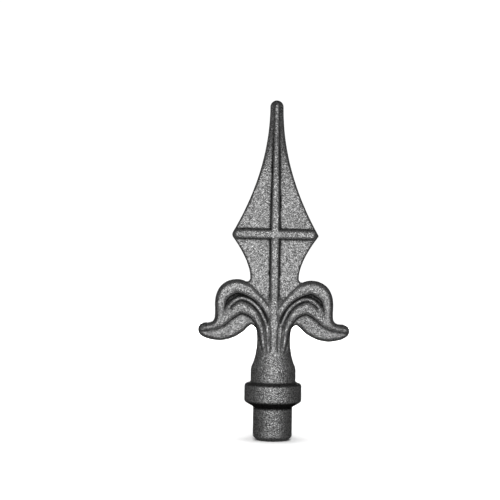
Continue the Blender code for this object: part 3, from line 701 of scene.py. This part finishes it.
def castingMesh():
    right = halfOutline(blade["shoulderRoundRight"], fineness["outlineStep"])
    left = halfOutline(blade["shoulderRoundLeft"], fineness["outlineStep"])[::-1] * (-1, 1)
    sides = fineness["sides"] // 2
    rootRadius = right[0, 0]
    angles = np.linspace(-math.pi / 2, math.pi / 2, sides + 1)
    rootRow = np.column_stack([rootRadius * np.sin(angles), np.full(sides + 1, root)])
    outline = np.vstack([rootRow, right[1:], left[1:-1]])
    relief = Relief(outline)
    scatter = scatterPoints(outline, relief)
    print("points on the front:", len(scatter.points))

    flat = [Vector(point) for point in scatter.points]
    found = delaunay_2d_cdt(flat, scatter.edges, [list(range(len(outline)))], 1, 1e-9)
    flat = np.array([tuple(point) for point in found[0]])
    triangles = found[2]
    place = {was: now for now, given in enumerate(found[3]) for was in given}
    height = relief.halfThickness(flat)
    held = np.zeros(len(flat), bool)
    for was in range(len(outline)):
        height[place[was]] = 0.0
        held[place[was]] = True
    for i, angle in enumerate(angles[1:-1], 1):
        height[place[i]] = rootRadius * math.cos(angle)
    held |= flat[:, 1] < root + foot["rootFade"]
    height = softened(height, triangles, held, fineness["softRounds"])
    inset = nearest(flat, relief.outline)[0]
    fromBladeEdge = nearest(np.abs(flat), relief.overBlade)[0]
    # painted shading for the colour: darker in grooves and hollows, lighter on crests
    hollow = paintedShadingOf(height, triangles, held, inset, fromBladeEdge, flat[:, 1] - neckTop)

    skew = blade["mouldSkew"] * smoothStep(flat[:, 1], neckLow, waist)
    front = np.column_stack([flat[:, 0], -height, flat[:, 1] - flat[:, 0] * skew])
    vertices = [tuple(row) for row in front]
    paintedShading = hollow.tolist()
    back = {}
    for i, (x, y, z) in enumerate(front):
        back[i] = i if y == 0.0 else len(vertices)
        if y != 0.0:
            vertices.append((x, -y, z))
            paintedShading.append(paintedShading[i])
    faces = [tuple(face) for face in triangles]
    faces += [tuple(back[i] for i in reversed(face)) for face in triangles]

    rootRing = [place[i] for i in range(sides + 1)]
    rootRing += [back[place[i]] for i in range(sides - 1, 0, -1)]
    step = fineness["footStep"]
    profile = resample(stemProfile(step / 3), step)
    profile = [tuple(row) for row in profile if row[1] < root - step / 2]
    rings = []
    for radius, z in profile:
        rings.append(list(range(len(vertices), len(vertices) + 2 * sides)))
        # painted shade on the foot's cone and crease
        paintedShading += [float(ringPaintedShade(z))] * (2 * sides)
        for i in range(2 * sides):
            angle = -math.pi / 2 + math.pi * i / sides
            vertices.append((radius * math.sin(angle), -radius * math.cos(angle), z))
    rings.append(rootRing)
    for lower, upper in zip(rings, rings[1:]):
        for i in range(2 * sides):
            j = (i + 1) % (2 * sides)
            faces.append((lower[i], lower[j], upper[j], upper[i]))
    hub = len(vertices)
    vertices.append((0.0, 0.0, 0.0))
    faces += [(rings[0][(i + 1) % (2 * sides)], rings[0][i], hub) for i in range(2 * sides)]
    mesh = bpy.data.meshes.new("castFinial")
    mesh.from_pydata(vertices, [], faces)
    mesh.shade_smooth()
    mesh.attributes.new("paintedShading", "FLOAT", "POINT").data.foreach_set("value", paintedShading + [0.0])
    return mesh


# Nodes

class Wire:
    # a node's output, which takes part in sums
    def __init__(self, tree, socket):
        self.tree = tree
        self.socket = socket

    def maths(self, operation, one, other):
        return addNode(self.tree, "ShaderNodeMath", {"operation": operation}, {0: one, 1: other})

    def __add__(self, other):
        return self.maths("ADD", self, other)

    def __radd__(self, other):
        return self.maths("ADD", other, self)

    def __sub__(self, other):
        return self.maths("SUBTRACT", self, other)

    def __rsub__(self, other):
        return self.maths("SUBTRACT", other, self)

    def __mul__(self, other):
        return self.maths("MULTIPLY", self, other)

    def __rmul__(self, other):
        return self.maths("MULTIPLY", other, self)

    def __pow__(self, other):
        return self.maths("POWER", self, other)

    def output(self, name):
        return Wire(self.tree, self.socket.node.outputs[name])


def addNode(tree, kind, settings, values, output=0):
    node = tree.nodes.new(kind)
    for name, value in settings.items():
        setattr(node, name, value)
    for name, value in values.items():
        if isinstance(value, Wire):
            tree.links.new(value.socket, node.inputs[name])
        else:
            node.inputs[name].default_value = value
    return Wire(tree, node.outputs[output]) if len(node.outputs) else node


def mixColours(tree, factor, one, other, blend="MIX"):
    settings = {"data_type": "RGBA", "blend_type": blend}
    return addNode(tree, "ShaderNodeMix", settings, {0: factor, 6: one, 7: other}, 2)


def grey(level):
    return (level, level, level, 1.0)


def spread(wire, low, high):
    # 0 below the low value, 1 above the high one
    values = {0: wire, 1: low, 2: high, 3: 0.0, 4: 1.0}
    return addNode(wire.tree, "ShaderNodeMapRange", {"interpolation_type": "SMOOTHSTEP"}, values)


# Sand-cast skin

skin = {
    "Waviness": 0.00004,        # how far the surface wanders over a few millimetres
    "Wave size": 0.0060,
    "Grain depth": 0.00005,     # sand grains and the shallow pits between them
    "Grain size": 0.0009,
    "End margin": 0.0010,       # the skin fades out towards the stub's flat end
    "Seed": 7.0,
}


def skinTree(material):
    tree = bpy.data.node_groups.new("sandCastSkin", "GeometryNodeTree")
    tree.interface.new_socket("Geometry", in_out="INPUT", socket_type="NodeSocketGeometry")
    for name in skin:
        tree.interface.new_socket(name, in_out="INPUT", socket_type="NodeSocketFloat")
    tree.interface.new_socket("Geometry", in_out="OUTPUT", socket_type="NodeSocketGeometry")
    given = addNode(tree, "NodeGroupInput", {}, {}, "Geometry")
    place = addNode(tree, "GeometryNodeInputPosition", {}, {})
    normal = addNode(tree, "GeometryNodeInputNormal", {}, {})

    def inverse(name):
        return given.output(name) ** -1.0

    def noiseAt(scale, seed, detail):
        values = {"Vector": place, "W": seed, "Scale": scale, "Detail": detail, "Roughness": 0.6}
        return addNode(tree, "ShaderNodeTexNoise", {"noise_dimensions": "4D"}, values)

    seed = given.output("Seed")
    wave = noiseAt(inverse("Wave size"), seed, 2.0) - 0.5
    grain = noiseAt(inverse("Grain size"), seed + 3.0, 1.5) - 0.5
    height = wave * given.output("Waviness") * 2.0 + grain * given.output("Grain depth") * 2.0
    rise = addNode(tree, "ShaderNodeSeparateXYZ", {}, {0: place}, "Z")
    height = height * spread(rise, 0.0, given.output("End margin"))
    offset = addNode(tree, "ShaderNodeVectorMath", {"operation": "SCALE"}, {0: normal, "Scale": height})
    moved = addNode(tree, "GeometryNodeSetPosition", {}, {"Geometry": given, "Offset": offset})
    real = addNode(tree, "GeometryNodeRealizeInstances", {}, {"Geometry": moved})
    dressed = addNode(tree, "GeometryNodeSetMaterial", {}, {"Geometry": real, "Material": material})
    addNode(tree, "NodeGroupOutput", {}, {"Geometry": dressed})
    return tree


def withSkin(piece, material):
    modifier = piece.modifiers.new("sandCastSkin", "NODES")
    tree = skinTree(material)
    modifier.node_group = tree
    for item in tree.interface.items_tree:
        if item.in_out == "INPUT" and item.name in skin:
            modifier[item.identifier] = skin[item.name]
    bpy.context.view_layer.update()
    evaluated = piece.evaluated_get(bpy.context.evaluated_depsgraph_get())
    rough = bpy.data.meshes.new_from_object(evaluated)
    piece.modifiers.remove(modifier)
    piece.data = rough


# Raw cast iron

iron = {
    "dark": 0.07,
    "light": 0.61,
    "roughness": 0.49,
    "roughnessSpread": 0.12,
    "metallic": 0.9,
    # painted shade in grooves and hollows: how far the colour goes towards its dark tone
    "paintedShadeDark": 0.98,
    "paintedShadeTone": 0.004,
    "paintedShadeSpeckle": 0.08,     # grains that stay lighter in the painted shade
    "crestLift": 0.60,          # how much lighter the crests are painted
    "cellSpan": (0.1, 0.9),
    "cellShare": 0.65,
    "noiseSpan": (0.38, 0.62),
    "cloudSize": 0.014,
    "cloudShare": 0.1,
    "paintedShadeRoughness": 0.2,
    "grainSize": 0.00046,
    "bumpSize": 0.00060,
    "bumpDepth": 0.00044,
}


def castIron():
    material = bpy.data.materials.new("rawCastIron")
    material.use_nodes = True
    tree = material.node_tree
    tree.nodes.clear()
    place = addNode(tree, "ShaderNodeTexCoord", {}, {}, "Object")

    def noise(size, detail, roughness=0.55):
        values = {"Vector": place, "Scale": 1.0 / size, "Detail": detail, "Roughness": roughness}
        return addNode(tree, "ShaderNodeTexNoise", {}, values)

    def cells(size, output):
        values = {"Vector": place, "Scale": 1.0 / size, "Randomness": 1.0}
        return addNode(tree, "ShaderNodeTexVoronoi", {"feature": "F1"}, values, output)

    grain = noise(iron["grainSize"], 1.0)
    shade = addNode(tree, "ShaderNodeSeparateColor", {}, {0: cells(iron["grainSize"], "Color")}, "Red")
    cloud = noise(iron["cloudSize"], 2.0)
    cellShare, cloudShare = iron["cellShare"], iron["cloudShare"]
    speckle = spread(shade, *iron["cellSpan"]) * cellShare
    speckle = speckle + spread(grain, *iron["noiseSpan"]) * (1.0 - cellShare)
    # painted shade: this attribute darkens the colour in grooves, hollows and the foot's cone and crease,
    # where shade falls
    paintedShading = addNode(tree, "ShaderNodeAttribute", {"attribute_name": "paintedShading"}, {}, "Fac")
    paintedShadeShare = addNode(tree, "ShaderNodeClamp", {}, {"Value": paintedShading})
    crest = addNode(tree, "ShaderNodeClamp", {}, {"Value": paintedShading * -1.0})
    tone = speckle * (1.0 - cloudShare) + cloud * cloudShare
    colour = mixColours(tree, tone, grey(iron["dark"]), grey(iron["light"]))
    # crests painted lighter where the shading attribute is negative
    lift = 1.0 + crest * iron["crestLift"]
    colour = addNode(tree, "ShaderNodeVectorMath", {"operation": "SCALE"}, {0: colour, "Scale": lift})
    # painted shade: the colour is mixed towards near-black by this share, a little less on light grains
    darkness = paintedShadeShare * (iron["paintedShadeDark"] - speckle * iron["paintedShadeSpeckle"])
    colour = mixColours(tree, darkness, colour, grey(iron["paintedShadeTone"]))
    height = noise(iron["bumpSize"], 0.6)
    bump = addNode(tree, "ShaderNodeBump", {}, {
        "Strength": 1.0, "Distance": iron["bumpDepth"], "Height": height})
    roughness = iron["roughness"] + (1.0 - speckle) * iron["roughnessSpread"]
    roughness = roughness + paintedShadeShare * iron["paintedShadeRoughness"]
    shader = addNode(tree, "ShaderNodeBsdfPrincipled", {}, {
        "Base Color": colour, "Roughness": roughness, "Metallic": iron["metallic"], "Normal": bump})
    addNode(tree, "ShaderNodeOutputMaterial", {}, {"Surface": shader})
    return material


# Stage, light and camera

studio = {
    "floorTone": 0.86,
    "floorHalf": 30.0,
    "floorSun": 3.9,            # lights the floor alone, and leaves a soft shadow on it
    "floorSunAngle": 70.0,
    "white": 1.05,              # the room as the camera sees it
    "ambient": 0.060,           # the room as the iron sees it
    "keyPlace": (-0.010, -0.20, 0.090),
    "keySize": (0.13, 0.08),    # wide, so the round foot has a broad highlight
    "keyPower": 0.322,
    "backPlace": (0.0, 1.10, 0.12),
    "backSize": (0.30, 0.30),
    "backPower": 4.0,
}

view = {
    "lens": 98.3,
    "sensor": 36.0,
    "place": (-0.01277, -0.7, 0.0970),
    "roll": 0.85,               # degrees
}


def plainStage():
    half = studio["floorHalf"]
    mesh = bpy.data.meshes.new("floor")
    corners = [(-half, -half, 0.0), (half, -half, 0.0), (half, half, 0.0), (-half, half, 0.0)]
    mesh.from_pydata(corners, [], [(0, 1, 2, 3)])
    material = bpy.data.materials.new("paleFloor")
    material.use_nodes = True
    tree = material.node_tree
    tree.nodes.clear()
    surface = addNode(tree, "ShaderNodeBsdfDiffuse", {}, {"Color": grey(studio["floorTone"])})
    addNode(tree, "ShaderNodeOutputMaterial", {}, {"Surface": surface})
    mesh.materials.append(material)
    floor = bpy.data.objects.new("floor", mesh)
    bpy.context.scene.collection.objects.link(floor)
    floor.visible_diffuse = False       # the iron sees a dark floor, as under a photographer's table
    floor.visible_glossy = False

    lit = bpy.data.collections.new("litByFloorSun")
    lit.objects.link(floor)
    sun = bpy.data.lights.new("floorSun", "SUN")
    sun.energy = studio["floorSun"]
    sun.angle = math.radians(studio["floorSunAngle"])
    lamp = bpy.data.objects.new("floorSun", sun)
    bpy.context.scene.collection.objects.link(lamp)
    lamp.location = (0.0, 0.0, 1.0)
    lamp.light_linking.receiver_collection = lit


def areaLight(name, place, size, power, target=(0.0, 0.0, 0.09)):
    light = bpy.data.lights.new(name, "AREA")
    light.shape = "RECTANGLE"
    light.size, light.size_y = size
    light.energy = power
    lamp = bpy.data.objects.new(name, light)
    bpy.context.scene.collection.objects.link(lamp)
    lamp.location = place
    lamp.rotation_euler = (Vector(target) - Vector(place)).to_track_quat("-Z", "Y").to_euler()
    lamp.visible_camera = False


def studioLight():
    areaLight("keyLight", studio["keyPlace"], studio["keySize"], studio["keyPower"])
    areaLight("backFill", studio["backPlace"], studio["backSize"], studio["backPower"])
    world = bpy.data.worlds.new("paleRoom")
    bpy.context.scene.world = world
    world.use_nodes = True
    tree = world.node_tree
    tree.nodes.clear()
    seen = addNode(tree, "ShaderNodeLightPath", {}, {}, "Is Camera Ray")
    level = seen * (studio["white"] - studio["ambient"]) + studio["ambient"]
    glow = addNode(tree, "ShaderNodeBackground", {}, {"Color": grey(1.0), "Strength": level})
    addNode(tree, "ShaderNodeOutputWorld", {}, {"Surface": glow})


def photoCamera():
    camera = bpy.data.cameras.new("camera")
    camera.lens = view["lens"]
    camera.sensor_width = view["sensor"]
    camera.clip_start = 0.01
    eye = bpy.data.objects.new("camera", camera)
    bpy.context.scene.collection.objects.link(eye)
    eye.matrix_world = (
        Matrix.Translation(Vector(view["place"]))
        @ Matrix.Rotation(math.radians(90), 4, "X")
        @ Matrix.Rotation(math.radians(view["roll"]), 4, "Z")
    )
    bpy.context.scene.camera = eye
    bpy.context.scene.view_settings.view_transform = "Standard"


# Making

photoCamera()
plainStage()
studioLight()
print("stage, light and camera set")

finial = bpy.data.objects.new("castFinial", castingMesh())
bpy.context.scene.collection.objects.link(finial)
withSkin(finial, castIron())
print("casting:", len(finial.data.polygons), "faces")

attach(finial, "root")
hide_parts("finial")
